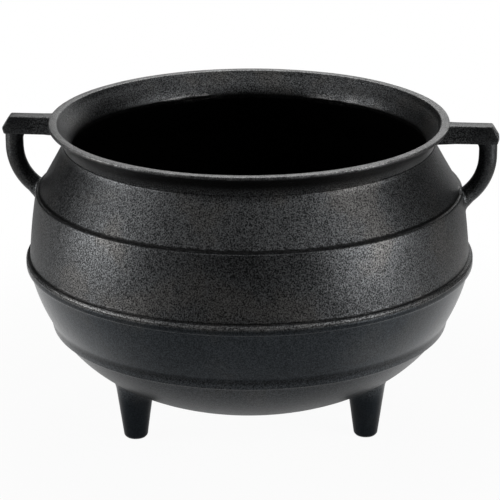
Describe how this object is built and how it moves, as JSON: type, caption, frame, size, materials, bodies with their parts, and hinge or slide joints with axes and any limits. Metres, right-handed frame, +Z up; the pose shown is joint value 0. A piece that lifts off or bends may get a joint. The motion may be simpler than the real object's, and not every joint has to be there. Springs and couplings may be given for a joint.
{
  "type": "cast iron cooking pot",
  "caption": "Round-bellied open cooking pot with a flared neck and flat rim, raised bands round the body, an ear handle on each side and short tapered legs, cast in iron.",
  "frame": {"origin": "point on the floor under the pot's axis, which is also the middle of the bounding box's bottom", "axes": "+Z up along the pot's axis, +X towards the right handle, -Y towards the viewer of the picture"},
  "size_m": [0.254, 0.2308, 0.16],
  "materials": {
    "lower_iron": "blue-black sand-cast iron, smoother and slightly sheeny",
    "upper_iron": "charcoal sand-cast iron with a speckled grain",
    "rim_iron": "bare grey iron, rubbed on the flat lip",
    "handle_iron": "near-black sand-cast iron",
    "leg_iron": "smooth blue-black cast iron"
  },
  "bodies": {
    "root": {"bowl_bottom": "lower_iron", "bowl_flank": "lower_iron", "lower_band": "lower_iron", "lower_belly": "lower_iron", "belly_band": "upper_iron", "middle_belly": "upper_iron", "shoulder": "upper_iron", "neck": "upper_iron", "rim_lip": "rim_iron", "left_handle_bar": "handle_iron", "left_handle_loop": "handle_iron", "right_handle_bar": "handle_iron", "right_handle_loop": "handle_iron", "front_left_leg": "leg_iron", "front_right_leg": "leg_iron", "rear_leg": "leg_iron"}
  },
  "joints": []
}
